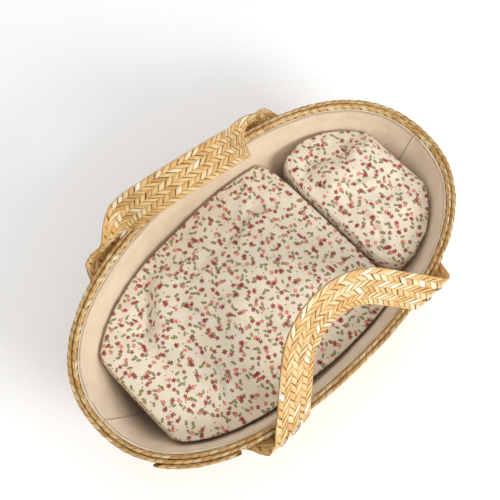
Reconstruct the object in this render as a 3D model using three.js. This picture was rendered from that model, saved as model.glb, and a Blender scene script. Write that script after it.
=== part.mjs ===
// Doll-size moses basket: an oval basket of plaited straw, lined with cotton, with two strap
// handles, a mattress, a duvet and a pillow. Millimetres, +Z up. The origin is the middle of the
// underside, +X points to the head end and +Y to the basket's left side.

import * as THREE from 'three';

// ---- Driving dimensions -------------------------------------------------------------------------

const RIM_LENGTH = 480;          // over the doubled rim, along X
const RIM_WIDTH = 282;           // over the doubled rim, along Y
const BASKET_HEIGHT = 140;       // resting face to the top of the rim
const WALL_FLARE = 61;           // how far the rim stands out beyond the foot of the wall
const WALL_BULGE = 0.3;          // 0 is a straight wall, more bends it outwards at half height
const OVAL_POWER = 2.27;         // 2 is an ellipse, more is squarer
const WALL_ROWS = 4;             // rounds of plait, sewn edge to edge
const PLAIT_THICKNESS = 4.5;
const SEAM_GAP = 0.3;            // left between pieces that are sewn or laid against each other

const TAIL_HEIGHT = 16;          // the plait's end, lapped outside the rim at the foot end
const TAIL_START_X = -214;
const TAIL_CLEARANCE = 2;        // to the tab that it stops short of

const LINING_THICKNESS = 1.2;
const LINING_DROP = 4;           // hem below the top of the rim

const MATTRESS_THICKNESS = 45;
const MATTRESS_CLEARANCE = 3;
const DUVET_THICKNESS = 52;
const DUVET_FOOT_X = -190;
const DUVET_HEAD_X = 100;
const DUVET_HALF_WIDTH = 125;
const PILLOW_THICKNESS = 62;
const PILLOW_LENGTH = 108;       // along X
const PILLOW_WIDTH = 184;        // along Y
const BEDDING_GAP = 1;           // between mattress and duvet, and duvet and pillow
const BEDDING_CLEARANCE = 2;     // to the lining
const COVER_THICKNESS = 1;
const FILLING_CLEARANCE = 3;     // between a cover and its filling

const STRAP_WIDTH = 37.6;
const STRAP_THICKNESS = 4;
const STRAP_SPREAD = 204;        // between the middles of a handle's two legs, at the rim
const LEG_SLANT = THREE.MathUtils.degToRad(50);
const CORNER_RADIUS = 75;        // of the strap's middle line, where the legs meet
const TAB_DROP = 37;             // how far a sewn end reaches below the pivot line
const TAB_FLAT_DROP = 22;        // below this the sewn end lies on the rim
const PIVOT_GAP = 7;             // from the pivot line to the strap on each side of it
const PIVOT_RISE = 1.6;          // strap over the top of the rim when it lies flat inwards

// How each handle rests: its lean inwards from upright, the twist of its strap towards lying face
// up, and its skew, which is how far inwards it is pushed for each millimetre towards the head.
const RIGHT_HANDLE = { side: -1, lean: 47, twist: 0, skew: 0 };
const LEFT_HANDLE = { side: 1, lean: 22, twist: 90, skew: 0.167 };
const SETTLE_RISE = 45;          // twist and skew are complete this far up the handle

const RING_SEGMENTS = 56;
const CUSHION_SEGMENTS = 40;
const STRAP_STEPS = 26;          // over half a handle

// ---- Materials ----------------------------------------------------------------------------------

const straw = new THREE.MeshStandardMaterial({ color: 0xd8b06c, roughness: 0.55, metalness: 0 });
const strapStraw = new THREE.MeshStandardMaterial({ color: 0xe6c283, roughness: 0.45, metalness: 0 });
const liningCotton = new THREE.MeshStandardMaterial({ color: 0xdcc3a5, roughness: 0.9, metalness: 0 });
const printedCotton = new THREE.MeshStandardMaterial({ color: 0xe9ddc8, roughness: 0.9, metalness: 0 });
const plainCotton = new THREE.MeshStandardMaterial({ color: 0xf0ebe0, roughness: 0.9, metalness: 0 });
const wadding = new THREE.MeshStandardMaterial({ color: 0xf7f5f0, roughness: 1, metalness: 0 });

// ---- Closed solids from cross-sections ----------------------------------------------------------

// Six times the volume inside the triangles, negative when they face inwards.
function signedVolume(points, triangles) {
  const normal = new THREE.Vector3();
  return triangles.reduce((sum, [a, b, c]) => sum + points[a].dot(normal.crossVectors(points[b], points[c])), 0);
}

function closedGeometry(points, triangles) {
  const outward = signedVolume(points, triangles) > 0;
  const index = triangles.flatMap(([a, b, c]) => (outward ? [a, b, c] : [a, c, b]));
  const geometry = new THREE.BufferGeometry().setFromPoints(points);
  geometry.setIndex(index);
  geometry.computeVertexNormals();
  return geometry;
}

// Joins cross-sections with the same number of points. A ring closes on itself; anything else is
// capped at both ends with a fan about the end section's middle.
function loft(sections, { ring = false } = {}) {
  const count = sections[0].length;
  const points = sections.flat();
  const triangles = [];
  const lastJoin = ring ? sections.length : sections.length - 1;
  for (let s = 0; s < lastJoin; s += 1) {
    const here = s * count;
    const next = ((s + 1) % sections.length) * count;
    for (let i = 0; i < count; i += 1) {
      const j = (i + 1) % count;
      triangles.push([here + i, next + i, next + j], [here + i, next + j, here + j]);
    }
  }
  if (!ring) {
    addCap(points, triangles, sections[0], 0, true);
    addCap(points, triangles, sections.at(-1), (sections.length - 1) * count, false);
  }
  return closedGeometry(points, triangles);
}

function addCap(points, triangles, section, first, reversed) {
  const middle = section.reduce((sum, p) => sum.add(p), new THREE.Vector3()).divideScalar(section.length);
  const centre = points.push(middle) - 1;
  for (let i = 0; i < section.length; i += 1) {
    const a = first + i;
    const b = first + ((i + 1) % section.length);
    triangles.push(reversed ? [centre, a, b] : [centre, b, a]);
  }
}

function piece(name, geometry, material) {
  const mesh = new THREE.Mesh(geometry, material);
  mesh.name = name;
  return mesh;
}

// ---- The basket's oval --------------------------------------------------------------------------

const signedPower = (value, power) => Math.sign(value) * Math.abs(value) ** power;

function ovalPoint({ halfLength, halfWidth }, angle, height) {
  const x = halfLength * signedPower(Math.cos(angle), 2 / OVAL_POWER);
  const y = halfWidth * signedPower(Math.sin(angle), 2 / OVAL_POWER);
  return new THREE.Vector3(x, y, height);
}

// The positive Y of the oval at x.
function ovalReach({ halfLength, halfWidth }, x) {
  const share = Math.min(Math.abs(x) / halfLength, 1) ** OVAL_POWER;
  return halfWidth * (1 - share) ** (1 / OVAL_POWER);
}

// The angle at which the oval reaches x, between 0 and pi.
function ovalAngle({ halfLength }, x) {
  return Math.acos(signedPower(x / halfLength, OVAL_POWER / 2));
}

// How far out a point is: 1 on the oval, less inside it.
function ovalMeasure({ halfLength, halfWidth }, x, y) {
  const sum = (Math.abs(x) / halfLength) ** OVAL_POWER + (Math.abs(y) / halfWidth) ** OVAL_POWER;
  return sum ** (1 / OVAL_POWER);
}

const rimLayer = PLAIT_THICKNESS + SEAM_GAP;

// The wall's outline at a height, taken `depth` inside its outer face (negative is outside).
function wallOval(height, depth) {
  const share = height / BASKET_HEIGHT;
  const reached = share + WALL_BULGE * share * (1 - share);
  const inset = rimLayer + (WALL_FLARE - rimLayer) * (1 - reached) + depth;
  return { halfLength: RIM_LENGTH / 2 - inset, halfWidth: RIM_WIDTH / 2 - inset };
}

// ---- Plaited straw: base, wall, rim -------------------------------------------------------------

// One band round the wall between two heights and two depths, over a stretch of the oval.
function wallBand({ bottom, top, outerDepth, innerDepth, from = 0, to = 2 * Math.PI, segments = RING_SEGMENTS }) {
  const ring = to - from >= 2 * Math.PI;
  const middle = (bottom + top) / 2;
  const heights = [bottom, middle, top];
  const sections = [];
  for (let s = 0; s < segments + (ring ? 0 : 1); s += 1) {
    const angle = from + ((to - from) * s) / segments;
    const outer = heights.map((z) => ovalPoint(wallOval(z, outerDepth), angle, z));
    const inner = heights.map((z) => ovalPoint(wallOval(z, innerDepth), angle, z)).reverse();
    sections.push([...outer, ...inner]);
  }
  return loft(sections, { ring });
}

const rowHeight = BASKET_HEIGHT / WALL_ROWS;

function wallRow(row) {
  const bottom = row === 1 ? 0 : (row - 1) * rowHeight + SEAM_GAP / 2;
  const top = row === WALL_ROWS ? BASKET_HEIGHT : row * rowHeight - SEAM_GAP / 2;
  const geometry = wallBand({ bottom, top, outerDepth: 0, innerDepth: PLAIT_THICKNESS });
  return piece(`wall_plait_row_${row}`, geometry, straw);
}

// The second layer that doubles the top row.
function rimPlait() {
  const bottom = BASKET_HEIGHT - rowHeight + SEAM_GAP;
  const geometry = wallBand({ bottom, top: BASKET_HEIGHT, outerDepth: -rimLayer, innerDepth: -SEAM_GAP });
  return piece('rim_plait', geometry, straw);
}

// The plait's loose end, a third layer that stops short of the right handle's foot-end tab.
function rimPlaitTail() {
  const bottom = BASKET_HEIGHT - TAIL_HEIGHT;
  const outline = wallOval(bottom, -rimLayer);
  const endX = -(tabReach(bottom) + TAIL_CLEARANCE);
  const geometry = wallBand({
    bottom,
    top: BASKET_HEIGHT,
    outerDepth: -2 * rimLayer,
    innerDepth: -rimLayer - SEAM_GAP,
    from: 2 * Math.PI - ovalAngle(outline, TAIL_START_X),
    to: 2 * Math.PI - ovalAngle(outline, endX),
    segments: 8,
  });
  return piece('rim_plait_tail', geometry, straw);
}

// The base fills the foot of the wall: the coil's start, two plaits wide, and one round outside it.
const baseOval = wallOval(0, rimLayer);
const baseRoundWidth = baseOval.halfWidth / 2;

function insetOval({ halfLength, halfWidth }, inset) {
  return { halfLength: halfLength - inset, halfWidth: halfWidth - inset };
}

function basePlaits() {
  const centreOval = insetOval(baseOval, baseRoundWidth + SEAM_GAP);
  const centre = loft(ovalSlab(centreOval, 0, PLAIT_THICKNESS));
  const innerOval = insetOval(baseOval, baseRoundWidth);
  const sections = [];
  for (let s = 0; s < RING_SEGMENTS; s += 1) {
    const angle = (2 * Math.PI * s) / RING_SEGMENTS;
    const corners = [[baseOval, 0], [baseOval, PLAIT_THICKNESS], [innerOval, PLAIT_THICKNESS], [innerOval, 0]];
    sections.push(corners.map(([oval, height]) => ovalPoint(oval, angle, height)));
  }
  return [
    piece('base_plait_centre', centre, straw),
    piece('base_plait_ring', loft(sections, { ring: true }), straw),
  ];
}

// The two outlines of a flat oval plate.
function ovalSlab(oval, bottom, top) {
  const outline = (height) => Array.from({ length: RING_SEGMENTS }, (_, s) => (
    ovalPoint(oval, (2 * Math.PI * s) / RING_SEGMENTS, height)
  ));
  return [outline(bottom), outline(top)];
}

// ---- Cotton lining ------------------------------------------------------------------------------

const liningOuterDepth = rimLayer;
const liningInnerDepth = liningOuterDepth + LINING_THICKNESS;
const liningFloorTop = PLAIT_THICKNESS + SEAM_GAP + LINING_THICKNESS;

function lining() {
  const bottom = PLAIT_THICKNESS + SEAM_GAP;
  const floorOval = wallOval(bottom, liningInnerDepth + SEAM_GAP);
  const seamShare = SEAM_GAP / wallOval(bottom, liningInnerDepth).halfWidth;
  const seamAngle = Math.asin(seamShare ** (OVAL_POWER / 2));
  const sidePanel = (from) => wallBand({
    bottom,
    top: BASKET_HEIGHT - LINING_DROP,
    outerDepth: liningOuterDepth,
    innerDepth: liningInnerDepth,
    from: from + seamAngle,
    to: from + Math.PI - seamAngle,
    segments: RING_SEGMENTS / 2,
  });
  return [
    piece('lining_floor_panel', loft(ovalSlab(floorOval, bottom, liningFloorTop)), liningCotton),
    piece('lining_side_left', sidePanel(0), liningCotton),
    piece('lining_side_right', sidePanel(Math.PI), liningCotton),
  ];
}

// ---- Bedding ------------------------------------------------------------------------------------

const mattressBottom = liningFloorTop + SEAM_GAP;
const mattressTop = mattressBottom + MATTRESS_THICKNESS;
const beddingBottom = mattressTop + BEDDING_GAP;

// Moves a point towards the cushion's middle until it is inside the lining at that height.
function insideLining(point, centreX, clearance) {
  const oval = wallOval(point.z, liningInnerDepth + clearance);
  let low = 0;
  let high = 1;
  const at = (share) => [centreX + (point.x - centreX) * share, point.y * share];
  if (ovalMeasure(oval, point.x, point.y) <= 1) {
    return point;
  }
  for (let step = 0; step < 30; step += 1) {
    const share = (low + high) / 2;
    if (ovalMeasure(oval, ...at(share)) > 1) {
      high = share;
    } else {
      low = share;
    }
  }
  return new THREE.Vector3(...at(low), point.z);
}

// Cross-sections of a crowned cushion, from the bottom up. Its sides are round and its plan is a
// soft rectangle that the lining trims.
function cushionLayers({ centreX, halfLength, halfWidth, squareness, bottom, thickness, edge, clearance }) {
  const levels = [0, 0.1, 0.28, 0.5, 0.72, 0.86, 0.94, 1];
  const crownScale = [1, 1, 1, 1, 1, 1, 0.65, 0.38];
  return levels.map((level, i) => {
    const inset = edge * (1 - Math.sqrt(1 - (2 * Math.min(level, 0.9) - 1) ** 2));
    return Array.from({ length: CUSHION_SEGMENTS }, (_, s) => {
      const angle = (2 * Math.PI * (s + 0.5)) / CUSHION_SEGMENTS;
      const x = centreX + halfLength * signedPower(Math.cos(angle), 2 / squareness);
      const y = halfWidth * signedPower(Math.sin(angle), 2 / squareness);
      const point = new THREE.Vector3(x, y, bottom + level * thickness);
      return movedIn(insideLining(point, centreX, clearance), centreX, inset, crownScale[i]);
    });
  });
}

// Moves a point towards the cushion's upright middle line by a distance, then by a scale.
function movedIn(point, centreX, distance, scale = 1) {
  const share = scale * (1 - distance / Math.hypot(point.x - centreX, point.y));
  return new THREE.Vector3(centreX + (point.x - centreX) * share, point.y * share, point.z);
}

// The same layers moved in on every side.
function shrunkLayers(layers, { centreX, bottom, thickness }, distance) {
  return layers.map((layer) => layer.map((point) => {
    const level = (point.z - bottom) / thickness;
    const z = bottom + distance + level * (thickness - 2 * distance);
    return movedIn(point, centreX, distance).setZ(z);
  }));
}

// A cover open underneath, as an envelope-backed cover is, and the filling inside it.
function coveredCushion(name, fillingName, shape, coverMaterial) {
  const outer = cushionLayers(shape);
  const inner = shrunkLayers(outer, shape, COVER_THICKNESS);
  inner[0].forEach((point) => point.setZ(shape.bottom));
  const filling = shrunkLayers(outer, shape, COVER_THICKNESS + FILLING_CLEARANCE);
  return [
    piece(`${name}_cover`, loft([...inner.toReversed(), ...outer]), coverMaterial),
    piece(`${name}_${fillingName}`, loft(filling), wadding),
  ];
}

function mattress() {
  const foot = wallOval(mattressBottom, liningInnerDepth + MATTRESS_CLEARANCE);
  return coveredCushion('mattress', 'foam', {
    centreX: 0,
    halfLength: foot.halfLength,
    halfWidth: foot.halfWidth,
    squareness: OVAL_POWER,
    bottom: mattressBottom,
    thickness: MATTRESS_THICKNESS,
    edge: 4,
    clearance: MATTRESS_CLEARANCE,
  }, plainCotton);
}

function duvet() {
  return coveredCushion('duvet', 'wadding', {
    centreX: (DUVET_HEAD_X + DUVET_FOOT_X) / 2,
    halfLength: (DUVET_HEAD_X - DUVET_FOOT_X) / 2,
    halfWidth: DUVET_HALF_WIDTH,
    squareness: 4,
    bottom: beddingBottom,
    thickness: DUVET_THICKNESS,
    edge: 14,
    clearance: BEDDING_CLEARANCE,
  }, printedCotton);
}

function pillow() {
  return coveredCushion('pillow', 'wadding', {
    centreX: DUVET_HEAD_X + BEDDING_GAP + PILLOW_LENGTH / 2,
    halfLength: PILLOW_LENGTH / 2,
    halfWidth: PILLOW_WIDTH / 2,
    squareness: 3.2,
    bottom: beddingBottom,
    thickness: PILLOW_THICKNESS,
    edge: 16,
    clearance: BEDDING_CLEARANCE,
  }, printedCotton);
}

// ---- Strap handles ------------------------------------------------------------------------------

// Half the width that the slanted strap takes up along the rim.
const obliqueHalf = STRAP_WIDTH / 2 / Math.sin(LEG_SLANT);
const pivotHeight = BASKET_HEIGHT + PIVOT_RISE + STRAP_THICKNESS / 2;

// The pivot line runs along X, just outside the rim where the legs' inner edges cross it.
const pivotReach = ovalReach(wallOval(BASKET_HEIGHT, -rimLayer), STRAP_SPREAD / 2 - obliqueHalf)
  + SEAM_GAP + STRAP_THICKNESS / 2;

const legCrossing = (STRAP_SPREAD / 2) * Math.tan(LEG_SLANT);
const legRise = legCrossing - CORNER_RADIUS * Math.sin(LEG_SLANT) * Math.tan(LEG_SLANT);
const legLength = legRise / Math.sin(LEG_SLANT);

// The strap's middle line in the handle's own plane: distance along the rim, rise and direction,
// from the head of the foot-end leg at travel 0 to the top of the handle.
function handleLine(travel) {
  if (travel < legLength) {
    return {
      along: -STRAP_SPREAD / 2 + travel * Math.cos(LEG_SLANT),
      rise: travel * Math.sin(LEG_SLANT),
      slant: LEG_SLANT,
    };
  }
  const slant = LEG_SLANT - (travel - legLength) / CORNER_RADIUS;
  return {
    along: -CORNER_RADIUS * Math.sin(slant),
    rise: legRise + CORNER_RADIUS * (Math.cos(slant) - Math.cos(LEG_SLANT)),
    slant,
  };
}

// A point of the strap. `end` is -1 on the foot-end leg and 1 on the head-end leg, `across` is the
// place over the strap's width and `through` the place in its thickness.
function strapPoint(handle, end, travel, across, through) {
  const { along, rise, slant } = handleLine(travel);
  const settled = THREE.MathUtils.smoothstep(rise, 0, SETTLE_RISE);
  const lean = THREE.MathUtils.degToRad(handle.lean);
  const twist = THREE.MathUtils.degToRad(handle.twist) * settled;
  const up = new THREE.Vector3(0, -handle.side * Math.sin(lean), Math.cos(lean));
  const outwards = new THREE.Vector3(0, handle.side * Math.cos(lean), Math.sin(lean));
  const width = new THREE.Vector3(end * Math.sin(slant), 0, 0).addScaledVector(up, Math.cos(slant));
  const inwards = handle.skew * -end * along * settled;
  const middle = new THREE.Vector3(-end * along, handle.side * (pivotReach - inwards), pivotHeight);
  return middle
    .addScaledVector(up, rise)
    .addScaledVector(width, across * Math.cos(twist) - through * Math.sin(twist))
    .addScaledVector(outwards, across * Math.sin(twist) + through * Math.cos(twist));
}

// Where on the middle line the strap's edge begins, so that its end is cut along the pivot line.
function edgeStart(across) {
  return (PIVOT_GAP - across * Math.cos(LEG_SLANT)) / Math.sin(LEG_SLANT);
}

// Cross-sections of one leg and half the corner, from the rim to the top of the handle.
function strapSections(handle, end) {
  const half = STRAP_WIDTH / 2;
  const thick = STRAP_THICKNESS / 2;
  const corners = [[-half, -thick], [half, -thick], [half, thick], [-half, thick]];
  const middle = legLength + CORNER_RADIUS * LEG_SLANT;
  return Array.from({ length: STRAP_STEPS + 1 }, (_, step) => corners.map(([across, through]) => {
    const start = edgeStart(across);
    return strapPoint(handle, end, start + ((middle - start) * step) / STRAP_STEPS, across, through);
  }));
}

function handleStrap(name, handle) {
  const footHalf = strapSections(handle, -1);
  const headHalf = strapSections(handle, 1).slice(0, -1).toReversed();
  return piece(name, loft([...footHalf, ...headHalf]), strapStraw);
}

// The greatest distance from the middle, along X, that a sewn end reaches at a height.
function tabReach(height) {
  return STRAP_SPREAD / 2 + (pivotHeight - height) / Math.tan(LEG_SLANT) + obliqueHalf;
}

// A sewn end: it goes on down from the pivot line along its leg's slant and settles on the rim.
function tab(name, side, end) {
  const rowsDown = 8;
  const columns = 6;
  const bearing = (height, out) => wallOval(height, -rimLayer - SEAM_GAP - out);
  const sections = Array.from({ length: rowsDown + 1 }, (_, row) => {
    const drop = PIVOT_GAP + ((TAB_DROP - PIVOT_GAP) * row) / rowsDown;
    const height = pivotHeight - drop;
    const settled = THREE.MathUtils.smoothstep(drop, PIVOT_GAP, TAB_FLAT_DROP);
    const face = (out) => Array.from({ length: columns + 1 }, (_, column) => {
      const x = tabReach(height) - (2 * obliqueHalf * column) / columns;
      const straightReach = pivotReach - STRAP_THICKNESS / 2 + out;
      const reach = THREE.MathUtils.lerp(straightReach, ovalReach(bearing(height, out), x), settled);
      return new THREE.Vector3(end * x, side * reach, height);
    });
    return [...face(0), ...face(STRAP_THICKNESS).toReversed()];
  });
  return piece(name, loft(sections), strapStraw);
}

// ---- Assembly -----------------------------------------------------------------------------------

const basket = new THREE.Group();
basket.add(...basePlaits());
for (let row = 1; row <= WALL_ROWS; row += 1) {
  basket.add(wallRow(row));
}
basket.add(rimPlait(), rimPlaitTail(), ...lining());
basket.add(...mattress(), ...duvet(), ...pillow());
for (const [sideName, handle] of [['left', LEFT_HANDLE], ['right', RIGHT_HANDLE]]) {
  basket.add(handleStrap(`${sideName}_handle_strap`, handle));
  basket.add(tab(`${sideName}_handle_tab_head`, handle.side, 1));
  basket.add(tab(`${sideName}_handle_tab_foot`, handle.side, -1));
}

export default basket;
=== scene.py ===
import math

import bpy
import numpy as np
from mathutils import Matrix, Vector, noise


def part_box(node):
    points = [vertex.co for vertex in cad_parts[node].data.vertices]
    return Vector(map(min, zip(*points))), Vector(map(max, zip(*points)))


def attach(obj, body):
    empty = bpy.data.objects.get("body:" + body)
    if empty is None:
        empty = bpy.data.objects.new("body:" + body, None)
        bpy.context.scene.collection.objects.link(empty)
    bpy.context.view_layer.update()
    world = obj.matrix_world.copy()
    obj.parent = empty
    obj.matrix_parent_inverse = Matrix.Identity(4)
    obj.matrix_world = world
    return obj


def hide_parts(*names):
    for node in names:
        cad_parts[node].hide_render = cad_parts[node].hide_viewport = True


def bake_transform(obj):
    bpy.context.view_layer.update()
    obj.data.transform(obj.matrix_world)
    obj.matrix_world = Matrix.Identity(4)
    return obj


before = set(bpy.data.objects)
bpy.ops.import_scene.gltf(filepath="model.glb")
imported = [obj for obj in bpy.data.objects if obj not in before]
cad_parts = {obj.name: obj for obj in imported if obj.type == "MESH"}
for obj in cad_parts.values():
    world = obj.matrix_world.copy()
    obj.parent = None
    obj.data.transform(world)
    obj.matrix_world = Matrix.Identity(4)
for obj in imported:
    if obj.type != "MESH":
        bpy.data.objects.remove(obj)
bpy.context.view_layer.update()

RNG = np.random.default_rng(11)

# ---- Sizes, in metres, shared with the CAD source ------------------------------------------------

HALF_LENGTH, HALF_WIDTH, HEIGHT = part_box("rim_plait")[1]
FLARE = 0.061            # the rim stands this far out beyond the foot of the wall
BULGE = 0.3              # how much the wall rounds outwards between its foot and the rim
OVAL_POWER = 2.27        # 2 is an ellipse, and more is squarer
ROWS = 4
PLAIT = 0.0045           # thickness of the plait
GAP = 0.0003             # between pieces that are sewn together
LAYER = PLAIT + GAP
LINING = 0.0012

STRAP_WIDTH = 0.0376
STRAP_THICK = 0.004
STRAP_LIFT = 0.0016      # how far over the rim a strap passes
SPREAD = 0.204           # between a handle's two ends, along the rim
SLANT = math.radians(50)         # of the two legs
CORNER = 0.075           # radius of the arc that joins the legs
TAB_DROP = 0.037         # from the pivot line down to the tip of a sewn end
TAB_FLAT = 0.022         # a sewn end lies against the wall from here down
PIVOT_GAP = 0.007        # a strap bends this far above and below the pivot line
SETTLE_RISE = 0.045      # a handle has its full twist and skew from this height up
HANDLES = {              # lean is inwards, twist is about the strap's length, skew turns it in plan
    "right": {"side": -1, "lean": math.radians(47), "twist": 0.0, "skew": 0.0},
    "left": {"side": 1, "lean": math.radians(22), "twist": math.radians(90), "skew": 0.167},
}

STRAND = 0.00665         # width of one straw strand
PITCH = STRAND * math.sqrt(2)    # from one slanting strand to the next, along the plait
RELIEF = 0.0011          # depth of the valleys between strands
UNEVEN = 0.00035         # how much deeper some strands lie than others
WALL_COLUMNS = 4         # columns of slanting strands across a plait
STRAP_COLUMNS = 6
TAIL_COLUMNS = 2
OPEN_COLUMNS = 5         # with more columns than this the strands lie closer together
FLOAT_GRID = (7, 5)      # points along and across one strand on a face
FLOAT_REACH = 0.56       # half a strand's reach along the plait, in pitches
FLOAT_LAP = 0.58         # half its reach across the plait, in column widths
FLOAT_HALF = (0.42, 0.5)         # half its width, from narrowest to widest, in pitches
STAGGER = 0.25           # how far each column is moved along from its neighbour, in pitches
STRAY = 0.06             # how far a strand may lie from its place, in pitches
STRAY_SLOPE = 0.12       # how much steeper or flatter it may lie
END_DIP, SIDE_DIP = 0.85, 0.5    # how far a strand's ends and sides dip, in valleys
WRAP_GRID = (7, 4)       # points round and across one strand at an edge
WRAP_SHIFT = 0.8         # how far a strand moves along as it turns, in pitches
WRAP_HALF = 0.48         # half its width, in pitches
WRAP_DIP = 0.00022       # how far its middle lies inside the plait's own round edge
CORE_INSET = RELIEF * 1.15       # how deep the core lies below both faces; its dark colour is painted shade
CORE_STEP = 0.0025
CORE_COLUMNS = 9


# ---- Meshes --------------------------------------------------------------------------------------

def make_object(name, points, faces, material, attributes=None, smooth=True):
    """A mesh object from points and faces, with one number or vector per point for each attribute."""
    mesh = bpy.data.meshes.new(name)
    mesh.from_pydata([tuple(p) for p in points], [], faces)
    mesh.materials.append(material)
    for key, values in (attributes or {}).items():
        values = np.asarray(values, np.float32)
        kind = "FLOAT_VECTOR" if values.ndim == 2 else "FLOAT"
        layer = mesh.attributes.new(key, kind, "POINT")
        layer.data.foreach_set("vector" if values.ndim == 2 else "value", values.ravel())
    mesh.polygons.foreach_set("use_smooth", [smooth] * len(mesh.polygons))
    mesh.update()
    made = bpy.data.objects.new(name, mesh)
    bpy.context.scene.collection.objects.link(made)
    return made


def grid_faces(rows, columns, wrap_rows=False, wrap_columns=False, first=0):
    """Quads over a grid of points, stored row by row."""
    faces = []
    for r in range(rows if wrap_rows else rows - 1):
        for c in range(columns if wrap_columns else columns - 1):
            a, b = r * columns + c, r * columns + (c + 1) % columns
            below = (r + 1) % rows * columns
            faces.append((first + a, first + b, first + below + (c + 1) % columns, first + below + c))
    return faces


def smoothstep(value, low, high):
    """0 below low, 1 above high, and a smooth rise between them."""
    share = np.clip((value - low) / (high - low), 0, 1)
    return share * share * (3 - 2 * share)


# ---- The basket's oval ---------------------------------------------------------------------------

def signed_power(value, power):
    return np.sign(value) * np.abs(value) ** power


def wall_half(height, depth):
    """Half length and half width of the wall at a height, `depth` inside its outer face."""
    share = height / HEIGHT
    reached = share + BULGE * share * (1 - share)
    inset = LAYER + (FLARE - LAYER) * (1 - reached) + depth
    return HALF_LENGTH - inset, HALF_WIDTH - inset


def oval(half_length, half_width, angle):
    return (half_length * signed_power(np.cos(angle), 2 / OVAL_POWER),
            half_width * signed_power(np.sin(angle), 2 / OVAL_POWER))


def oval_reach(half_length, half_width, x):
    """How far to the side the oval stands at a place x along it."""
    share = np.minimum(np.abs(x) / half_length, 1) ** OVAL_POWER
    return half_width * (1 - share) ** (1 / OVAL_POWER)


class Perimeter:
    """Distance round an oval to angle, and back."""

    def __init__(self, half_length, half_width):
        self.angles = np.linspace(0, 2 * math.pi, 4001)
        x, y = oval(half_length, half_width, self.angles)
        steps = np.hypot(np.diff(x), np.diff(y))
        self.travel = np.concatenate([[0], np.cumsum(steps)])
        self.length = self.travel[-1]

    def angle(self, travel):
        return np.interp(np.mod(travel, self.length), self.travel, self.angles)


# ---- Plaited straw -------------------------------------------------------------------------------
# A plait is laid over a surface: surface(s, w, h) is the point s along it, w across it from its
# middle line, and h above its outer face, so that h is 0 to -thickness inside the plait.

def strand_patch(surface, s, w, h):
    """The points of a surface for arrays of s, w and h, in the arrays' own shape."""
    points = np.stack(surface(s.ravel(), w.ravel(), h.ravel()), axis=1)
    return points.reshape(*s.shape, 3)


def strand_grid(first, last, rows, columns):
    """Places along a strand, from first to last, and across it, from -1 to 1."""
    return np.meshgrid(np.linspace(first, last, rows), np.linspace(-1, 1, columns), indexing="ij")


class Strands:
    """Collects the strands of one plait, with a tone for each and a place across and along it."""

    def __init__(self):
        self.points, self.faces, self.tone, self.across, self.along = [], [], [], [], []

    def add(self, patch, across, along):
        rows, columns, _ = patch.shape
        self.faces += grid_faces(rows, columns, first=sum(len(p) for p in self.points))
        self.points.append(patch.reshape(-1, 3))
        self.tone.append(np.full(rows * columns, RNG.random()))
        self.across.append(across.ravel())
        self.along.append(along.ravel())

    def make(self, name, material):
        attributes = {"tone": np.concatenate(self.tone), "across": np.concatenate(self.across),
                      "along": np.concatenate(self.along)}
        return make_object(name, np.concatenate(self.points), self.faces, material, attributes)


def face_floats(strands, surface, length, width, columns, thickness, face, closed):
    """The strands seen on one face: slanting one way in one column and the other in the next."""
    count = max(2, round(length / PITCH * max(1.0, columns / OPEN_COLUMNS)))
    pitch = length / count
    column_width = width / columns
    along, across = strand_grid(-1, 1, *FLOAT_GRID)
    relief = RELIEF * (END_DIP * along ** 4 + SIDE_DIP * across ** 2)
    first = 0.5 if closed else 1
    for column in range(columns):
        direction = 1 if column % 2 else -1
        middle_w = -width / 2 + (column + 0.5) * column_width
        w = np.clip(middle_w + along * column_width * FLOAT_LAP, -width / 2, width / 2)
        for i in range(count if closed else count - 1):
            middle_s = (i + first + STAGGER * direction + RNG.uniform(-STRAY, STRAY)) * pitch
            slope = direction * (1 + RNG.uniform(-STRAY_SLOPE, STRAY_SLOPE))
            half = RNG.uniform(*FLOAT_HALF)
            s = middle_s + slope * along * pitch * FLOAT_REACH + across * pitch * half
            if not closed:
                s = np.clip(s, 0, length)
            depth = relief + RNG.uniform(0, UNEVEN)
            h = -depth if face > 0 else -thickness + depth
            strands.add(strand_patch(surface, s, w, h), across, along)


def edge_wraps(strands, surface, length, width, thickness, side, closed):
    """The strands turning round one edge of the plait."""
    count = max(2, round(length / PITCH))
    pitch = length / count
    turn, across = strand_grid(0, math.pi, *WRAP_GRID)
    radius = thickness / 2 - WRAP_DIP * (1 + across ** 2)
    w = side * (width / 2 - thickness / 2 + radius * np.sin(turn))
    h = -thickness / 2 + radius * np.cos(turn)
    for i in range(count if closed else count - 1):
        shift = (turn / math.pi - 0.5) * pitch * WRAP_SHIFT
        s = (i + 1) * pitch + shift + across * pitch * WRAP_HALF
        if not closed:
            s = np.clip(s, 0, length)
        strands.add(strand_patch(surface, s, w, h), across, turn / math.pi * 2 - 1)


def plait_core(name, surface, length, width, thickness, closed, material):
    """The inside of the plait, seen between the strands, coloured dark as painted shade in the gaps."""
    count = max(8, round(length / CORE_STEP))
    places = np.linspace(-width / 2 + CORE_INSET, width / 2 - CORE_INSET, CORE_COLUMNS)
    ring = [(w, -CORE_INSET) for w in places] + [(w, CORE_INSET - thickness) for w in places[::-1]]
    s = np.linspace(0, length, count, endpoint=not closed)
    w = np.tile([place[0] for place in ring], (count, 1))
    h = np.tile([place[1] for place in ring], (count, 1))
    points = strand_patch(surface, np.repeat(s[:, None], len(ring), 1), w, h).reshape(-1, 3)
    faces = grid_faces(count, len(ring), wrap_rows=closed, wrap_columns=True)
    if not closed:
        last = (count - 1) * len(ring)
        faces += [tuple(range(len(ring)))[::-1], tuple(last + i for i in range(len(ring)))]
    return make_object(name, points, faces, material)


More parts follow.
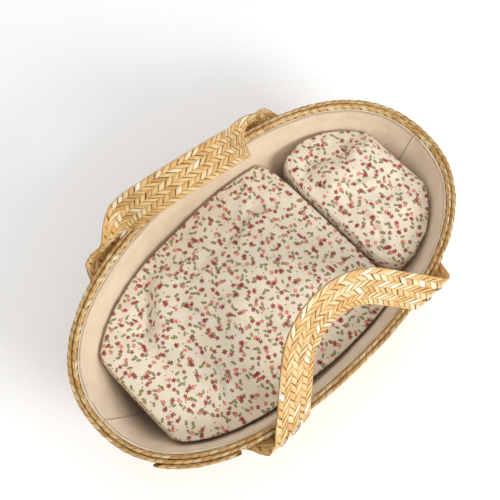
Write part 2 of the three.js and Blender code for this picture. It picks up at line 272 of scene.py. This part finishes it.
def plait(name, surface, length, width, columns, materials, thickness=PLAIT, closed=True):
    """A plait of one mesh: its strands on both faces and round both edges, over a core coloured dark as
    painted shade.
    """
    strands = Strands()
    for face in (1, -1):
        face_floats(strands, surface, length, width, columns, thickness, face, closed)
    for side in (1, -1):
        edge_wraps(strands, surface, length, width, thickness, side, closed)
    made = strands.make(name, materials[0])
    core = plait_core(name + "_core", surface, length, width, thickness, closed, materials[1])
    for key in ("tone", "across", "along"):
        core.data.attributes.new(key, "FLOAT", "POINT")
    made.data.materials.append(materials[1])
    join(made, core)
    return made


def join(target, other):
    """Joins other into target, keeping both materials."""
    with bpy.context.temp_override(active_object=target, selected_editable_objects=[target, other]):
        bpy.ops.object.join()


def wall_surface(perimeter, bottom, top, outer_depth):
    """The wall between two heights, its outer face `outer_depth` inside the wall's own."""
    def surface(s, w, h):
        z = (bottom + top) / 2 + w
        half_length, half_width = wall_half(z, outer_depth - h)
        x, y = oval(half_length, half_width, perimeter.angle(s))
        return x, y, z
    return surface


def finish_plait(made, node):
    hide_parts(node)
    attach(made, "basket")


def wall_rows(materials):
    for row in range(1, ROWS + 1):
        node = f"wall_plait_row_{row}"
        low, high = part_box(node)
        perimeter = Perimeter(*wall_half((low.z + high.z) / 2, 0))
        surface = wall_surface(perimeter, low.z, high.z, 0)
        made = plait(f"wall_round_{row}", surface, perimeter.length, high.z - low.z,
                     WALL_COLUMNS, materials)
        finish_plait(made, node)


def rim(materials):
    low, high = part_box("rim_plait")
    perimeter = Perimeter(*wall_half(high.z, -LAYER))
    surface = wall_surface(perimeter, low.z, high.z, -LAYER)
    made = plait("rim_round", surface, perimeter.length, high.z - low.z, WALL_COLUMNS, materials)
    finish_plait(made, "rim_plait")


def rim_tail(materials):
    """The loose end of the plait, a third layer outside the rim, cut short of its CAD solid."""
    low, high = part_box("rim_plait_tail")
    half_length, half_width = wall_half(low.z, -LAYER)
    perimeter = Perimeter(half_length, half_width)
    end_margin = 0.008       # this near the oval's end, x hardly tells one place from the next
    cut_foot, cut_side = 0.007, 0.002

    def travel_at(x):
        angle = 2 * math.pi - math.acos(signed_power(x / half_length, OVAL_POWER / 2))
        return np.interp(angle, perimeter.angles, perimeter.travel)

    start = travel_at(max(low.x, -half_length + end_margin) + cut_foot)
    end = travel_at(high.x - cut_side)
    laid = wall_surface(perimeter, low.z, high.z, -2 * LAYER)

    def surface(s, w, h):
        return laid(s + start, w, h)

    made = plait("rim_tail", surface, end - start, high.z - low.z, TAIL_COLUMNS, materials,
                 closed=False)
    finish_plait(made, "rim_plait_tail")


def base_surface(perimeter, half_length, half_width, width):
    """A flat round of plait inside an oval, with its outer face down."""
    margin = 0.0004          # keeps the outline off the very edge and the very middle

    def surface(s, w, h):
        inset = np.clip(width / 2 - w, margin, half_width - margin)
        x, y = oval(half_length - inset, half_width - inset, perimeter.angle(s))
        return x, y, -h
    return surface


def base(materials):
    """Two rounds of flat plait, seen from below."""
    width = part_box("base_plait_centre")[1].y
    for name, node in (("base_round", "base_plait_ring"), ("base_middle", "base_plait_centre")):
        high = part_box(node)[1]
        perimeter = Perimeter(high.x - width / 2, high.y - width / 2)
        surface = base_surface(perimeter, high.x, high.y, width)
        made = plait(name, surface, perimeter.length, width - 2 * GAP, WALL_COLUMNS, materials)
        finish_plait(made, node)


# ---- Strap handles -------------------------------------------------------------------------------

OBLIQUE = STRAP_WIDTH / 2 / math.sin(SLANT)      # half the slanting strap's width, along the rim
PIVOT_Z = HEIGHT + STRAP_LIFT + STRAP_THICK / 2
RIM_REACH = float(oval_reach(*wall_half(HEIGHT, -LAYER), SPREAD / 2 - OBLIQUE))
PIVOT_REACH = RIM_REACH + GAP + STRAP_THICK / 2
LEG_RISE = SPREAD / 2 * math.tan(SLANT) - CORNER * math.sin(SLANT) * math.tan(SLANT)
LEG_LENGTH = LEG_RISE / math.sin(SLANT)
TAB_LENGTH = (TAB_DROP - PIVOT_GAP) / math.sin(SLANT)
NECK_LENGTH = 2 * PIVOT_GAP / math.sin(SLANT)
HALF_ARC = LEG_LENGTH + CORNER * SLANT - PIVOT_GAP / math.sin(SLANT)
STRAP_LENGTH = 2 * (TAB_LENGTH + NECK_LENGTH + HALF_ARC)


def strap_point(handle, end, travel, across, through):
    """A point of the strap above the pivot, for one end of the handle."""
    on_leg = travel < LEG_LENGTH
    slant = np.where(on_leg, SLANT, SLANT - (travel - LEG_LENGTH) / CORNER)
    along = np.where(on_leg, -SPREAD / 2 + travel * math.cos(SLANT), -CORNER * np.sin(slant))
    rise = np.where(on_leg, travel * math.sin(SLANT), LEG_RISE + CORNER * (np.cos(slant) - math.cos(SLANT)))
    settled = smoothstep(rise, 0, SETTLE_RISE)
    twist = handle["twist"] * settled
    side, lean = handle["side"], handle["lean"]
    up = (0, -side * math.sin(lean), math.cos(lean))
    out = (0, side * math.cos(lean), math.sin(lean))
    flat = across * np.cos(twist) - through * np.sin(twist)
    stand = across * np.sin(twist) + through * np.cos(twist)
    inwards = handle["skew"] * -end * along * settled
    x = -end * along + flat * end * np.sin(slant)
    y = side * (PIVOT_REACH - inwards) + up[1] * (rise + flat * np.cos(slant)) + out[1] * stand
    z = PIVOT_Z + up[2] * (rise + flat * np.cos(slant)) + out[2] * stand
    return np.stack([x, y, z], axis=-1)


def tab_point(side, end, drop, across, through):
    """A point of the sewn end, `drop` below the pivot line."""
    height = PIVOT_Z - drop
    x = SPREAD / 2 + drop / math.tan(SLANT) + across / STRAP_WIDTH * 2 * OBLIQUE
    out = through + STRAP_THICK / 2
    bearing = oval_reach(*wall_half(height, -LAYER - GAP - out), x)
    settled = smoothstep(drop, PIVOT_GAP, TAB_FLAT)
    reach = (PIVOT_REACH - STRAP_THICK / 2 + out) * (1 - settled) + bearing * settled
    return np.stack([end * x, side * reach, height], axis=-1)


def half_strap(handle, end, travel, across, through):
    """A point of half the handle, by its distance from the sewn end's tip."""
    drop = np.clip(TAB_DROP - travel * math.sin(SLANT), PIVOT_GAP, TAB_DROP)
    low = tab_point(handle["side"], end, drop, across, through)
    start = (PIVOT_GAP - across * math.cos(SLANT)) / math.sin(SLANT)
    middle = LEG_LENGTH + CORNER * SLANT
    share = np.clip((travel - TAB_LENGTH - NECK_LENGTH) / HALF_ARC, 0, 1)
    high = strap_point(handle, end, start + (middle - start) * share, across, through)
    rising = np.clip((travel - TAB_LENGTH) / NECK_LENGTH, 0, 1)
    neck = np.stack([rising, rising ** 3, rising], axis=-1)     # goes inwards only above the rim
    return low * (1 - neck) + high * neck


def strap_surface(handle):
    """The handle's strap, from the tip of its foot end to the tip of its head end."""
    def surface(s, w, h):
        half = STRAP_LENGTH / 2
        through = h + STRAP_THICK / 2
        foot = half_strap(handle, -1, np.minimum(s, half), w, through)
        head = half_strap(handle, 1, np.minimum(STRAP_LENGTH - s, half), w, through)
        points = np.where((s <= half)[:, None], foot, head)
        return points[:, 0], points[:, 1], points[:, 2]
    return surface


STITCHES = 14            # along each row
STITCH_START = 0.006     # from the strap's tip
STITCH_STEP = 0.0034
STITCH_SWING = 0.0011    # how far a row zigzags to each side
STITCH_ARCH = 0.0006     # how far a stitch stands up at its middle
STITCH_LIFT = 0.0001     # how far its ends lie above the straw
THREAD_HALF = 0.00035
THREAD_THICK = 0.0005


def stitches(name, surface, material):
    """Two rows of zigzag stitches along each sewn end."""
    points, faces = [], []
    for at_head in (False, True):
        for line in (-1 / 6, 1 / 6):
            for i in range(STITCHES):
                s0 = STITCH_START + i * STITCH_STEP
                s1 = s0 + STITCH_STEP
                swing = STITCH_SWING if i % 2 else -STITCH_SWING
                w0, w1 = line * STRAP_WIDTH + swing, line * STRAP_WIDTH - swing
                if at_head:
                    s0, s1 = STRAP_LENGTH - s0, STRAP_LENGTH - s1
                middle = ((s0 + s1) / 2, (w0 + w1) / 2, STITCH_ARCH)
                first = len(points)
                for s, w, arch in ((s0, w0, 0.0), middle, (s1, w1, 0.0)):
                    for side in (-1, 1):
                        place = (s, w + side * THREAD_HALF, arch + STITCH_LIFT)
                        points.append(np.concatenate(surface(*(np.array([v]) for v in place))))
                faces += grid_faces(3, 2, first=first)
    made = make_object(name, points, faces, material)
    solid = made.modifiers.new("thread", "SOLIDIFY")
    solid.thickness = THREAD_THICK
    return made


def handles(materials, thread):
    for name, handle in HANDLES.items():
        surface = strap_surface(handle)
        made = plait(f"{name}_strap", surface, STRAP_LENGTH, STRAP_WIDTH, STRAP_COLUMNS, materials,
                     thickness=STRAP_THICK, closed=False)
        sewn = stitches(f"{name}_stitches", surface, thread)
        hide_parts(f"{name}_handle_strap", f"{name}_handle_tab_head", f"{name}_handle_tab_foot")
        for piece in (made, sewn):
            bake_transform(piece)


# ---- Cotton lining -------------------------------------------------------------------------------

LINING_GRID = (34, 240)          # points up and round one side of the lining
SEAM = 0.001             # half the gap between the two sides, as an angle
HEM_DEPTH = 0.010
HEM_THICK, CLOTH_THICK = 0.0013, 0.0006
BROAD_CREASES = {"depth": 0.0016, "scale": 30, "seed": 3}
FINE_CREASES = {"depth": 0.0007, "scale": 90, "seed": 8}
FOOT_CREASES = {"depth": 0.0012, "scale": 55, "seed": 5}
FOOT_END = -0.12         # the foot's creases lie beyond this x
FLOOR_RINGS, FLOOR_COLUMNS = 12, 96
FLOOR_MIDDLE = 0.02      # the innermost ring, as a share of the oval


def ripple(x, y, z, scale, seed):
    return noise.noise(Vector((x * scale + seed, y * scale, z * scale)))


def creases(x, y, z, depth, scale, seed):
    return depth * abs(ripple(x, y, z, scale, seed))


def grid_border(rows, columns):
    """The points along the border of a grid, in order."""
    return ([c for c in range(columns)] + [r * columns + columns - 1 for r in range(1, rows)]
            + [(rows - 1) * columns + c for c in range(columns - 2, -1, -1)]
            + [r * columns for r in range(rows - 2, 0, -1)])


def lining_side(name, node, first_angle, material):
    """One side of the lining, wrinkled a little, with a hem turned in along its top."""
    low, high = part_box(node)
    rows, columns = LINING_GRID
    angles = np.linspace(first_angle + SEAM, first_angle + math.pi - SEAM, columns)
    outer, inner = [], []
    for z in np.linspace(low.z, high.z, rows):
        thick = CLOTH_THICK if HEM_DEPTH < high.z - z else HEM_THICK
        for angle in angles:
            x, y = oval(*wall_half(z, LAYER), angle)
            push = creases(x, y, z * 0.5, **BROAD_CREASES) + creases(x, y, z, **FINE_CREASES)
            foot_push = creases(x, y, z, **FOOT_CREASES) if x < FOOT_END else 0
            ix, iy = oval(*wall_half(z, LAYER + thick + push + foot_push), angle)
            outer.append((x, y, z))
            inner.append((ix, iy, z))
    faces = grid_faces(rows, columns)
    total = rows * columns
    inner_faces = [tuple(total + i for i in face[::-1]) for face in faces]
    border = grid_border(rows, columns)
    edge_faces = [(a, b, total + b, total + a) for a, b in zip(border[-1:] + border[:-1], border)]
    made = make_object(name, outer + inner, faces + inner_faces + edge_faces, material)
    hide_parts(node)
    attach(made, "basket")


def lining_floor(material):
    """The flat oval panel that covers the base."""
    low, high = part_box("lining_floor_panel")
    rings, columns = FLOOR_RINGS, FLOOR_COLUMNS
    points = []
    for z in (low.z, high.z):
        for ring in range(rings):
            share = FLOOR_MIDDLE + (1 - FLOOR_MIDDLE) * ring / (rings - 1)
            for angle in np.linspace(0, 2 * math.pi, columns, endpoint=False):
                x, y = oval(high.x * share, high.y * share, angle)
                points.append((x, y, z))
    half = rings * columns
    last = half - columns
    bottom = grid_faces(rings, columns, wrap_columns=True)
    top = [tuple(half + i for i in face[::-1]) for face in bottom]
    edge = []
    for c in range(columns):
        a, b = last + c, last + (c + 1) % columns
        edge.append((a, b, half + b, half + a))
    caps = [tuple(range(columns)), tuple(half + c for c in range(columns))[::-1]]
    made = make_object("lining_floor", points, bottom + top + edge + caps, material)
    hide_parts("lining_floor_panel")
    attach(made, "basket")


# ---- Bedding -------------------------------------------------------------------------------------

CUSHION_COLUMNS, SIDE_ROWS, TOP_ROWS = 144, 14, 22       # points round, up the side, over the top
SHOULDER = 0.82          # where a cushion's side turns into its top, as a share of its thickness
LOWEST = 0.02            # where its side starts, likewise
TOP_SHARES = (0.985, 0.02)       # the top's outermost and innermost rings, as shares of its plan
CUSHION_GAP = 0.0025     # between a cushion and the lining
SEAM_DEPTH, SEAM_HEIGHT = 0.0012, 0.04   # the second is a share of the thickness
CROWN, CROWN_POWER = 0.2, 2.6    # how far the top rises, as a share of the thickness, and how flat
EDGE_FADE = 4            # puffs and creases fade out over the outer 1/4 of the top
PROUD_MARGIN = 0.001     # how far over its CAD solid and "proud" a top may reach
DUVET_CREASES = (        # place along the basket, bend, depth and width of each
    (-0.06, 0.3, 0.005, 0.012), (0.01, -0.25, 0.0045, 0.010),
    (0.06, 0.2, 0.003, 0.009), (-0.115, -0.15, 0.004, 0.011),
)


def cushion_outline(shape, z, angle):
    """A point of the cushion's plan, drawn in to clear the lining at that height."""
    middle = shape["x"]
    x = middle + shape["half_length"] * signed_power(np.cos(angle), 2 / shape["squareness"])
    y = shape["half_width"] * signed_power(np.sin(angle), 2 / shape["squareness"])
    limit_x, limit_y = wall_half(z, LAYER + LINING + CUSHION_GAP)
    low, high = 0.0, 1.0
    for _ in range(24):
        share = (low + high) / 2
        px, py = middle + (x - middle) * share, y * share
        inside = (abs(px) / limit_x) ** OVAL_POWER + (abs(py) / limit_y) ** OVAL_POWER <= 1
        low, high = (share, high) if inside else (low, share)
    return middle + (x - middle) * low, y * low


def puff(x, y):
    """How far a padded top swells or sinks: broad and small bumps, less its random creases."""
    broad = 0.009 * ripple(x, y, 0, scale=22, seed=2)
    small = 0.003 * ripple(x, y, 0, scale=70, seed=9)
    sunk = 0.005 * math.exp(-(ripple(x, y, 0, scale=17, seed=6) / 0.08) ** 2)
    return broad + small - sunk


def flat_cloth(grid, middle):
    """Where each point lies on the flat cloth: as far over the cushion, in its own direction."""
    rows, columns, _ = grid.shape
    cloth = np.zeros(grid.shape)
    for c in range(columns):
        arc = 0.0
        for r in range(rows - 1, -1, -1):
            if r < rows - 1:
                arc += float(np.linalg.norm(grid[r, c] - grid[r + 1, c]))
            direction = grid[min(r, SIDE_ROWS), c, :2] - middle
            direction = direction / (np.linalg.norm(direction) + 1e-9)
            cloth[r, c, :2] = direction * arc
    return cloth


def cushion(name, nodes, body, shape, material):
    """A crowned cushion with round sides, a seam at half its height, and creases from shape["dent"]."""
    box_low, box_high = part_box(nodes[0])
    thick = box_high.z - box_low.z + shape["proud"]
    highest = box_high.z + shape["proud"] + PROUD_MARGIN
    levels = np.concatenate([np.linspace(LOWEST, SHOULDER, SIDE_ROWS), np.full(TOP_ROWS, SHOULDER)])
    shares = np.concatenate([np.ones(SIDE_ROWS), np.linspace(*TOP_SHARES, TOP_ROWS)])
    angles = np.linspace(0, 2 * math.pi, CUSHION_COLUMNS, endpoint=False) + 0.01
    rows, columns = len(levels), CUSHION_COLUMNS
    grid = np.zeros((rows, columns, 3))
    for c, angle in enumerate(angles):
        for r, (level, share) in enumerate(zip(levels, shares)):
            z = box_low.z + level * thick
            x, y = cushion_outline(shape, z, angle)
            round_in = shape["edge"] * (1 - math.sqrt(1 - (2 * level - 1) ** 2))
            seam = SEAM_DEPTH * math.exp(-((level - 0.5) / SEAM_HEIGHT) ** 2)
            reach = math.hypot(x - shape["x"], y)
            keep = share * (1 - (round_in + seam) / reach)
            px, py = shape["x"] + (x - shape["x"]) * keep, y * keep
            if r >= SIDE_ROWS:
                crown = (1 - share ** CROWN_POWER) * CROWN * thick
                edge_fade = min(1.0, (1 - share) * EDGE_FADE)
                swell = puff(px, py) if shape["proud"] else 0.0
                z = min(z + crown + edge_fade * (swell - shape["dent"](px, py)), highest)
            grid[r, c] = (px, py, z)
    cloth = flat_cloth(grid, np.array([shape["x"], 0]))
    faces = grid_faces(rows, columns, wrap_columns=True)
    faces += [tuple(range(columns))[::-1], tuple((rows - 1) * columns + c for c in range(columns))]
    made = make_object(name, grid.reshape(-1, 3), faces, material, {"cloth": cloth.reshape(-1, 3)})
    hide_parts(*nodes)
    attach(made, body)


def duvet_dent(x, y):
    """A deep fold across the far foot corner, and soft creases across the middle."""
    fold = (x + 0.150) * 0.80 + (y - 0.020) * -0.60
    dent = 0.011 * math.exp(-(fold / 0.010) ** 2) * float(smoothstep(y, -0.02, 0.05))
    for place, bend, depth, width in DUVET_CREASES:
        line = x - place - bend * y
        waning = 0.6 + 0.4 * math.sin(y * 45 + place * 90)
        dent += depth * math.exp(-(line / width) ** 2) * waning
    return dent


def pillow_dent(x, y):
    """A soft crease along the pillow's middle, and tucks at its corners."""
    crease = 0.006 * math.exp(-((x - 0.152 - 0.12 * y) / 0.012) ** 2) * math.exp(-(y / 0.06) ** 2)
    tuck = 0.003 * abs(math.sin(y * 60 + x * 30)) * float(smoothstep(abs(y), 0.05, 0.09))
    return crease + tuck


def bedding(print_cotton, plain_cotton):
    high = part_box("mattress_cover")[1]
    cushion("mattress", ("mattress_cover", "mattress_foam"), "basket", {
        "x": 0.0, "half_length": high.x, "half_width": high.y, "squareness": OVAL_POWER,
        "edge": 0.006, "proud": 0.0, "dent": lambda x, y: 0.0}, plain_cotton)
    low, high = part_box("duvet_cover")
    cushion("duvet_padding", ("duvet_cover", "duvet_wadding"), "duvet", {
        "x": (low.x + high.x) / 2, "half_length": (high.x - low.x) / 2, "half_width": 0.122,
        "squareness": 7, "edge": 0.012, "proud": 0.008, "dent": duvet_dent}, print_cotton)
    low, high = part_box("pillow_cover")
    cushion("pillow_padding", ("pillow_cover", "pillow_wadding"), "pillow", {
        "x": (low.x + high.x) / 2, "half_length": (high.x - low.x) / 2, "half_width": 0.092,
        "squareness": 5.5, "edge": 0.012, "proud": 0.009, "dent": pillow_dent}, print_cotton)


# ---- Materials -----------------------------------------------------------------------------------

class Nodes:
    """Short calls for building one material's node tree."""

    def __init__(self, name, roughness, specular=0.5):
        self.material = bpy.data.materials.new(name)
        self.material.use_nodes = True
        self.tree = self.material.node_tree
        self.shader = self.tree.nodes["Principled BSDF"]
        self.shader.inputs["Roughness"].default_value = roughness
        self.shader.inputs["Specular IOR Level"].default_value = specular

    def link(self, source, target):
        self.tree.links.new(source, target)

    def attribute(self, name, output="Fac"):
        node = self.tree.nodes.new("ShaderNodeAttribute")
        node.attribute_name = name
        return node.outputs[output]

    def math(self, operation, *values):
        node = self.tree.nodes.new("ShaderNodeMath")
        node.operation = operation
        for socket, value in zip(node.inputs, values):
            if isinstance(value, (int, float)):
                socket.default_value = value
            else:
                self.link(value, socket)
        return node.outputs[0]

    def vector(self, operation, first, second):
        node = self.tree.nodes.new("ShaderNodeVectorMath")
        node.operation = operation
        for socket, value in zip(node.inputs, (first, second)):
            if isinstance(value, tuple):
                socket.default_value = value
            else:
                self.link(value, socket)
        return node.outputs["Value" if operation == "LENGTH" else "Vector"]

    def ramp(self, factor, stops):
        node = self.tree.nodes.new("ShaderNodeValToRGB")
        elements = node.color_ramp.elements
        while len(elements) < len(stops):
            elements.new(0.5)
        for element, (place, colour) in zip(elements, stops):
            element.position = place
            element.color = (*colour, 1)
        self.link(factor, node.inputs["Fac"])
        return node.outputs["Color"]

    def mix(self, factor, first, second, blend="MIX"):
        node = self.tree.nodes.new("ShaderNodeMix")
        node.data_type = "RGBA"
        node.blend_type = blend
        for name, value in (("Factor", factor), ("A", first), ("B", second)):
            socket = [i for i in node.inputs if i.name == name and i.enabled][0]
            if isinstance(value, (int, float)):
                socket.default_value = value
            elif isinstance(value, tuple):
                socket.default_value = (*value, 1)
            else:
                self.link(value, socket)
        return [o for o in node.outputs if o.enabled][0]

    def noise(self, vector, scale, detail=3.0):
        node = self.tree.nodes.new("ShaderNodeTexNoise")
        node.inputs["Scale"].default_value = scale
        node.inputs["Detail"].default_value = detail
        self.link(vector, node.inputs["Vector"])
        return node.outputs["Fac"]

    def object_place(self):
        return self.tree.nodes.new("ShaderNodeTexCoord").outputs["Object"]

    def split(self, vector):
        node = self.tree.nodes.new("ShaderNodeSeparateXYZ")
        self.link(vector, node.inputs[0])
        return node.outputs

    def combine(self, *values):
        node = self.tree.nodes.new("ShaderNodeCombineXYZ")
        for socket, value in zip(node.inputs, values):
            self.link(value, socket)
        return node.outputs[0]

    def base_colour(self, colour):
        self.link(colour, self.shader.inputs["Base Color"])

    def bump(self, height, strength, distance):
        node = self.tree.nodes.new("ShaderNodeBump")
        node.inputs["Strength"].default_value = strength
        node.inputs["Distance"].default_value = distance
        self.link(height, node.inputs["Height"])
        self.link(node.outputs["Normal"], self.shader.inputs["Normal"])


STRAW_TONES = [(0.0, (0.44, 0.20, 0.055)), (0.14, (0.56, 0.29, 0.085)), (0.35, (0.70, 0.42, 0.14)),
               (0.62, (0.80, 0.55, 0.23)), (0.84, (0.88, 0.70, 0.40)), (1.0, (0.95, 0.86, 0.66))]
STRAP_TONES = [(0.0, (0.50, 0.24, 0.06)), (0.2, (0.68, 0.38, 0.11)), (0.55, (0.80, 0.52, 0.20)),
               (0.8, (0.86, 0.65, 0.34)), (0.95, (0.96, 0.90, 0.76))]


def straw(name, tones):
    """Satin straw: a tone for each strand, streaks along it, and painted shade that darkens its dipped
    edges and ends.
    """
    made = Nodes(name, roughness=0.42, specular=0.5)
    tone, across, along = (made.attribute(key) for key in ("tone", "across", "along"))
    patchy = made.noise(made.object_place(), scale=45, detail=2)
    toned = made.math("ADD", made.math("MULTIPLY", tone, 0.75), made.math("MULTIPLY", patchy, 0.3))
    colour = made.ramp(toned, tones)
    stretched = made.combine(made.math("MULTIPLY", across, 9.0), made.math("MULTIPLY", along, 0.7),
                             made.math("MULTIPLY", tone, 60.0))
    streaks = made.noise(stretched, scale=1.6, detail=4)
    streak_colour = made.ramp(streaks, [(0.3, (0.45, 0.38, 0.3)), (0.6, (1, 1, 1))])
    colour = made.mix(0.45, colour, streak_colour, "MULTIPLY")
    # painted shade: each strand's edges and ends, where it dips into the valleys, are mixed towards dark
    # brown
    edge = made.math("POWER", made.math("ABSOLUTE", across), 4.0)
    ends = made.math("POWER", made.math("ABSOLUTE", along), 5.0)
    shade = made.math("MINIMUM", made.math("ADD", edge, ends), 1.0)
    made.base_colour(made.mix(made.math("MULTIPLY", shade, 0.6), colour, (0.22, 0.10, 0.03)))
    made.shader.inputs["Coat Weight"].default_value = 0.15
    made.bump(streaks, strength=0.35, distance=0.0004)
    return made.material


def two_tone(name, roughness, specular, scale, detail, darker, lighter):
    """A material that drifts between two colours, and the noise it drifts by."""
    made = Nodes(name, roughness, specular)
    drift = made.noise(made.object_place(), scale, detail)
    made.base_colour(made.ramp(drift, [(0.3, darker), (0.7, lighter)]))
    return made, drift


# painted shade: the plait's core is coloured dark brown so that the gaps between strands look shaded
def painted_gap_shade():
    made, _ = two_tone("gap_shade_paint", roughness=0.8, specular=0.2, scale=400, detail=3,
                       darker=(0.10, 0.045, 0.015), lighter=(0.24, 0.12, 0.045))
    return made.material


def thread_material():
    made, _ = two_tone("dark_thread", roughness=0.7, specular=0.3, scale=900, detail=2,
                       darker=(0.05, 0.025, 0.015), lighter=(0.12, 0.06, 0.03))
    return made.material


def weave(made, place, count):
    """A plain weave of `count` threads per metre, as a height."""
    turns = [made.math("SINE", made.math("MULTIPLY", part, 2 * math.pi * count))
             for part in list(made.split(place))[:2]]
    return made.math("MULTIPLY", turns[0], turns[1])


def cotton(name, lighter, darker):
    made, shade = two_tone(name, roughness=0.92, specular=0.15, scale=60, detail=4,
                           darker=darker, lighter=lighter)
    threads = weave(made, made.object_place(), count=1400)
    made.shader.inputs["Sheen Weight"].default_value = 0.25
    made.bump(made.math("ADD", threads, shade), strength=0.3, distance=0.0003)
    return made.material


PRINT_RANDOMNESS = 0.85
PRINT = (                # spacing, offset, radius and petals, then outer and inner colour
    (0.0125, 0.31, 0.0027, 2, (0.22, 0.21, 0.07), (0.29, 0.27, 0.10)),       # leaves
    (0.0150, 0.77, 0.0025, 2, (0.29, 0.27, 0.10), (0.22, 0.21, 0.07)),
    (0.0115, 0.13, 0.0010, 4, (0.26, 0.01, 0.02), (0.20, 0.01, 0.01)),       # buds
    (0.0170, 0.53, 0.0027, 5, (0.62, 0.13, 0.09), (0.75, 0.34, 0.24)),       # coral flowers
    (0.0175, 0.91, 0.0027, 5, (0.28, 0.008, 0.02), (0.48, 0.07, 0.07)),      # crimson flowers
    (0.0205, 0.19, 0.0031, 6, (0.24, 0.006, 0.015), (0.42, 0.05, 0.06)),
)


def flower_layer(made, cloth, spacing, offset, radius, petals):
    """A mask of flowers, one in each cell, and the share of the way out from each one's middle."""
    cell = made.tree.nodes.new("ShaderNodeTexVoronoi")
    cell.voronoi_dimensions = "2D"
    cell.inputs["Scale"].default_value = 1 / spacing
    cell.inputs["Randomness"].default_value = PRINT_RANDOMNESS
    shifted = made.vector("ADD", cloth, (offset, offset * 1.7, 0))
    made.link(shifted, cell.inputs["Vector"])
    flat = made.vector("MULTIPLY", shifted, (1, 1, 0))
    local = made.vector("SUBTRACT", flat, cell.outputs["Position"])
    x, y, _ = made.split(local)
    angle = made.math("ARCTAN2", y, x)
    turned = made.math("ADD", angle, made.math("MULTIPLY", cell.outputs["Color"], 6.0))
    wave = made.math("COSINE", made.math("MULTIPLY", turned, float(petals)))
    lobes = made.math("MULTIPLY", wave, 0.24)
    reach = made.math("MULTIPLY", made.math("ADD", lobes, 0.78), radius)
    share = made.math("DIVIDE", made.vector("LENGTH", local, (0, 0, 0)), reach)
    return made.math("LESS_THAN", share, 1.0), share


def printed_cotton():
    """Cream cotton with an all-over print of small crimson and coral flowers, leaves and buds."""
    made = Nodes("printed_cotton", roughness=0.88, specular=0.15)
    cloth = made.attribute("cloth", "Vector")
    drift = made.noise(cloth, scale=40, detail=3)
    colour = made.ramp(drift, [(0.3, (0.74, 0.64, 0.49)), (0.7, (0.82, 0.73, 0.59))])
    for spacing, offset, radius, petals, outer, inner in PRINT:
        mask, share = flower_layer(made, cloth, spacing, offset, radius, petals)
        petal = made.ramp(share, [(0.25, inner), (0.5, outer)])
        colour = made.mix(made.math("MULTIPLY", mask, 0.92), colour, petal)
    made.base_colour(colour)
    made.shader.inputs["Sheen Weight"].default_value = 0.2
    made.bump(weave(made, cloth, count=1500), strength=0.15, distance=0.0002)
    return made.material


# ---- Floor, light and camera ---------------------------------------------------------------------

FLOOR_HALF = 25.0
FLOOR_Z = -0.0004        # just below the basket, so that the two never share a face


def plain_floor():
    made = Nodes("floor", roughness=0.9, specular=0.1)
    made.shader.inputs["Base Color"].default_value = (0.97, 0.97, 0.97, 1)
    size = FLOOR_HALF
    corners = [(-size, -size, 0), (size, -size, 0), (size, size, 0), (-size, size, 0)]
    floor = make_object("floor", corners, [(0, 1, 2, 3)], made.material, smooth=False)
    floor.location.z = FLOOR_Z


def area_light(name, place, size, power, target):
    light = bpy.data.lights.new(name, "AREA")
    light.size = size
    light.energy = power
    made = bpy.data.objects.new(name, light)
    made.location = place
    made.rotation_euler = (Vector(target) - Vector(place)).to_track_quat("-Z", "Y").to_euler()
    bpy.context.scene.collection.objects.link(made)


def lights():
    """An even white surround, and one soft light from the right side of the basket."""
    world = bpy.data.worlds.new("studio")
    world.use_nodes = True
    surround = world.node_tree.nodes["Background"]
    surround.inputs["Color"].default_value = (1, 1, 1, 1)
    surround.inputs["Strength"].default_value = 0.86
    bpy.context.scene.world = world
    area_light("key", place=(0.2, -1.7, 1.2), size=0.8, power=24, target=(0, 0, 0.1))


CAMERA_AZIMUTH = math.radians(-44)
CAMERA_ELEVATION = math.radians(70)
CAMERA_DISTANCE = 0.988
CAMERA_AIM = Vector((0.0015, 0.028, HEIGHT))
CAMERA_LENS, CAMERA_SENSOR = 67.2, 36    # in mm


def camera():
    back = Vector((math.sin(CAMERA_AZIMUTH) * math.cos(CAMERA_ELEVATION),
                   -math.cos(CAMERA_AZIMUTH) * math.cos(CAMERA_ELEVATION),
                   math.sin(CAMERA_ELEVATION)))
    data = bpy.data.cameras.new("camera")
    data.lens = CAMERA_LENS
    data.sensor_width = CAMERA_SENSOR
    made = bpy.data.objects.new("camera", data)
    made.location = CAMERA_AIM + back * CAMERA_DISTANCE
    made.rotation_euler = back.to_track_quat("Z", "Y").to_euler()
    bpy.context.scene.collection.objects.link(made)
    bpy.context.scene.camera = made


# ---- The scene -----------------------------------------------------------------------------------

# the core material paints the shade in the gaps between strands
core = painted_gap_shade()
camera()
lights()
plain_floor()
basket_straw = (straw("basket_straw", STRAW_TONES), core)
wall_rows(basket_straw)
rim(basket_straw)
rim_tail(basket_straw)
base(basket_straw)
handles((straw("strap_straw", STRAP_TONES), core), thread_material())
sand = cotton("lining_cotton", (0.80, 0.66, 0.49), (0.73, 0.58, 0.42))
lining_side("lining_left", "lining_side_left", 0.0, sand)
lining_side("lining_right", "lining_side_right", math.pi, sand)
lining_floor(sand)
bedding(printed_cotton(), cotton("plain_cotton", (0.86, 0.83, 0.76), (0.78, 0.74, 0.67)))
bpy.context.scene.view_settings.view_transform = "Standard"
